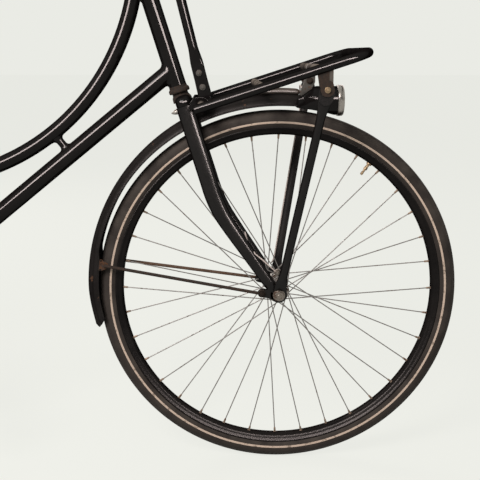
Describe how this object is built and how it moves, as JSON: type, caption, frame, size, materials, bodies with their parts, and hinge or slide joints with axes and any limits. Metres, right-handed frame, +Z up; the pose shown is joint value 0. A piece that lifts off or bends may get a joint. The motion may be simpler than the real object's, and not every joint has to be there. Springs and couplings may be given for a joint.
{
  "type": "child's roadster bicycle",
  "caption": "Child's step-through roadster bicycle with curved top tube, tubular front carrier, mudguards, closed chain case and a rear bail stand.",
  "frame": {"origin": "on the floor under the middle of the bicycle's length and width", "axes": "+X forward, +Y to the rider's left, +Z up"},
  "size_m": [1.8479, 0.565, 1.1125],
  "materials": {
    "frame_paint": "glossy black enamel, scuffed",
    "rusty_steel": "rusted plated steel",
    "bare_steel": "dull zinc-plated steel",
    "chrome": "polished chrome",
    "tyre": "black rubber with a pale reflective stripe",
    "rim_paint": "glossy black",
    "spoke_steel": "dull drawn wire",
    "rubber": "matt black",
    "saddle_cover": "black grained cover",
    "lamp_glass": "clear",
    "lamp_red": "red lens"
  },
  "bodies": {
    "frame": {"head_tube": "frame_paint", "down_tube": "frame_paint", "top_tube": "frame_paint", "tube_bridge": "frame_paint", "seat_tube": "frame_paint", "bottom_bracket": "frame_paint", "chain_stays": "frame_paint", "seat_stays": "frame_paint", "rear_dropouts": "frame_paint", "chain_case": "frame_paint", "rear_mudguard": "frame_paint", "rear_guard_stays": "frame_paint", "rear_carrier": "frame_paint", "rear_carrier_bars": "frame_paint", "rear_carrier_struts": "frame_paint", "headset_cups": "rusty_steel", "rear_axle_pin": "bare_steel", "saddle_frame": "bare_steel", "saddle_springs": "bare_steel", "seat_post": "chrome", "rear_lamp": "lamp_red", "saddle_top": "saddle_cover"},
    "steering": {"fork_crown": "frame_paint", "fork_blade_right": "frame_paint", "fork_blade_left": "frame_paint", "front_mudguard": "frame_paint", "carrier_loop": "frame_paint", "carrier_bars": "frame_paint", "carrier_struts": "frame_paint", "carrier_uprights": "frame_paint", "head_lamp": "frame_paint", "front_axle_pin": "bare_steel", "front_guard_stays": "rusty_steel", "head_lamp_glass": "lamp_glass", "stem": "chrome", "handlebar": "chrome", "bell": "chrome", "grips": "rubber"},
    "front_wheel": {"front_tyre": "tyre", "front_rim": "rim_paint", "front_spokes": "spoke_steel", "front_hub": "bare_steel"},
    "rear_wheel": {"rear_tyre": "tyre", "rear_rim": "rim_paint", "rear_spokes": "spoke_steel", "rear_hub": "bare_steel"},
    "crank": {"cranks": "chrome"},
    "pedal_right": {"right_pedal": "rubber"},
    "pedal_left": {"left_pedal": "rubber"},
    "stand": {"stand_legs": "frame_paint", "stand_bar": "frame_paint"}
  },
  "joints": [
    {"name": "steer", "type": "hinge", "parent": "frame", "child": "steering", "pos_m": [0.40951, 0, 0.70524], "axis": [-0.304, 0, 0.9527], "range_deg": [-70, 70]},
    {"name": "front_wheel_spin", "type": "hinge", "parent": "steering", "child": "front_wheel", "pos_m": [0.59297, 0, 0.331], "axis": [0, 1, 0], "continuous": true},
    {"name": "rear_wheel_spin", "type": "hinge", "parent": "frame", "child": "rear_wheel", "pos_m": [-0.56697, 0, 0.376], "axis": [0, 1, 0], "continuous": true},
    {"name": "crank_spin", "type": "hinge", "parent": "frame", "child": "crank", "pos_m": [-0.12275, 0, 0.3041], "axis": [0, 1, 0], "continuous": true},
    {"name": "pedal_right_spin", "type": "hinge", "parent": "crank", "child": "pedal_right", "pos_m": [0.015, -0.127, 0.23987], "axis": [0, 1, 0], "continuous": true},
    {"name": "pedal_left_spin", "type": "hinge", "parent": "crank", "child": "pedal_left", "pos_m": [-0.26051, 0.127, 0.36834], "axis": [0, 1, 0], "continuous": true},
    {"name": "stand_fold", "type": "hinge", "parent": "frame", "child": "stand", "pos_m": [-0.56697, 0, 0.376], "axis": [0, 1, 0], "range_deg": [0, 115]}
  ]
}
